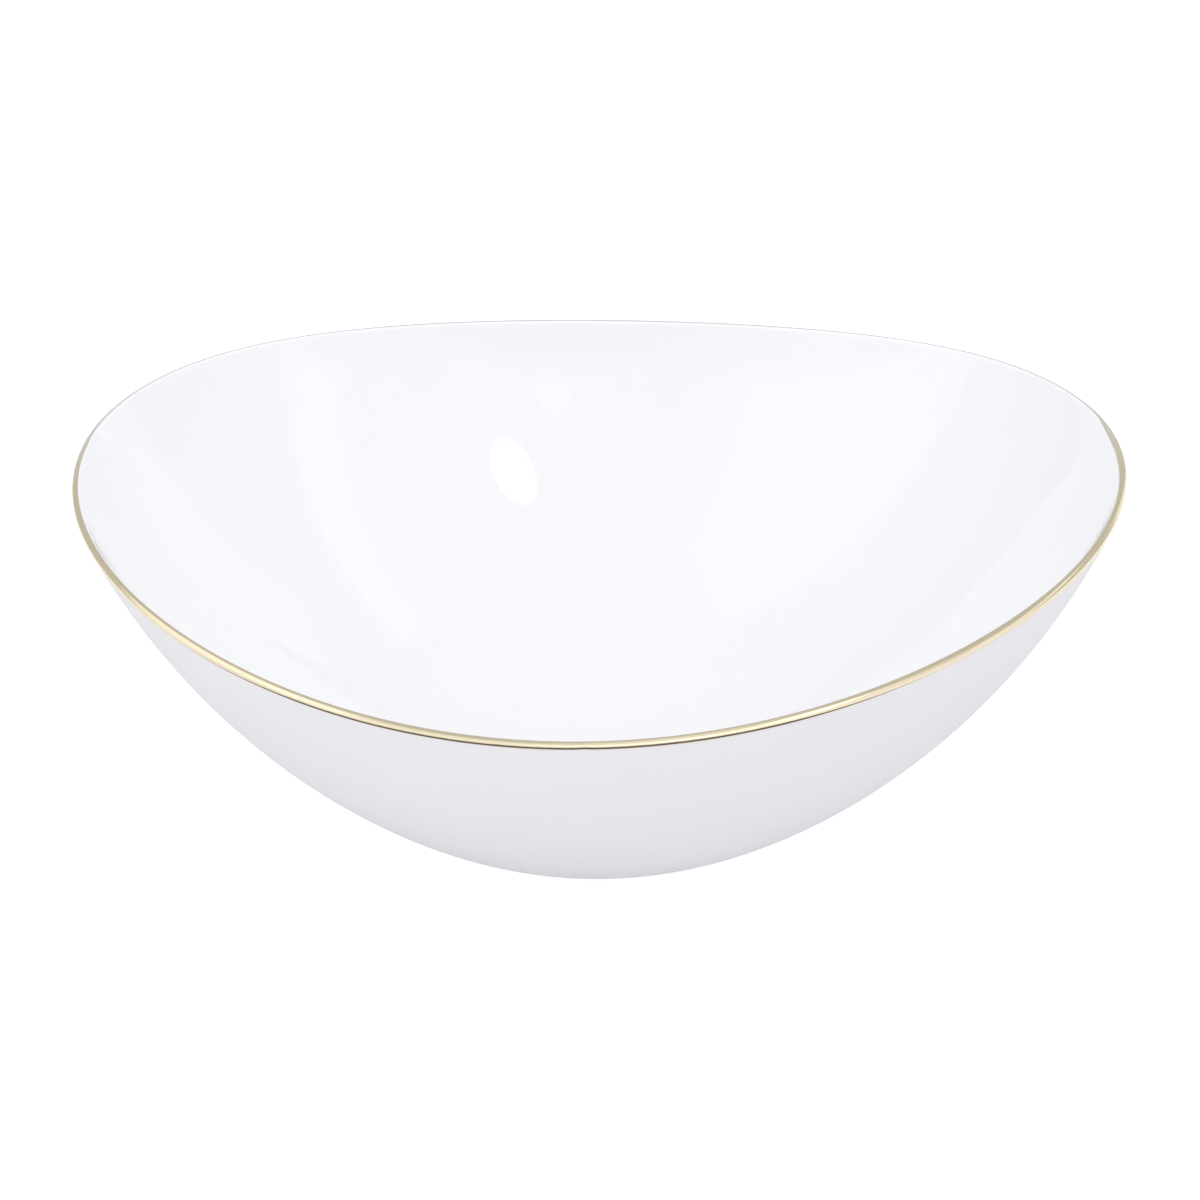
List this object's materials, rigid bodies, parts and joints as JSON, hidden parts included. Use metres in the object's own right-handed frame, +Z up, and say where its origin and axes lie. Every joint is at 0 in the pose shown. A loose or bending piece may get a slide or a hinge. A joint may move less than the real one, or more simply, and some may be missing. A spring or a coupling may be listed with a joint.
{
  "type": "serving bowl",
  "caption": "Wide, slightly oval porcelain serving bowl on a low foot ring, glossy inside, satin outside, its gently rising and falling rim edged with a thin gold band.",
  "frame": {"origin": "centre of the bowl's outline, on the table it stands on", "axes": "+Z up out of the bowl, +X along its longer way towards the slightly higher end, +Y away from the side it is usually seen from"},
  "size_m": [0.304, 0.2874, 0.1133],
  "materials": {
    "satin_bisque": "satin",
    "clear_glaze": "gloss",
    "fired_gold": "polished",
    "bare_foot": "matte",
    "well_glaze": "gloss"
  },
  "bodies": {
    "root": {"bowl_shell": "satin_bisque", "inner_glaze": "clear_glaze", "rim_gold_band": "fired_gold", "foot_ring": "bare_foot", "base_well_glaze": "well_glaze"}
  },
  "joints": []
}
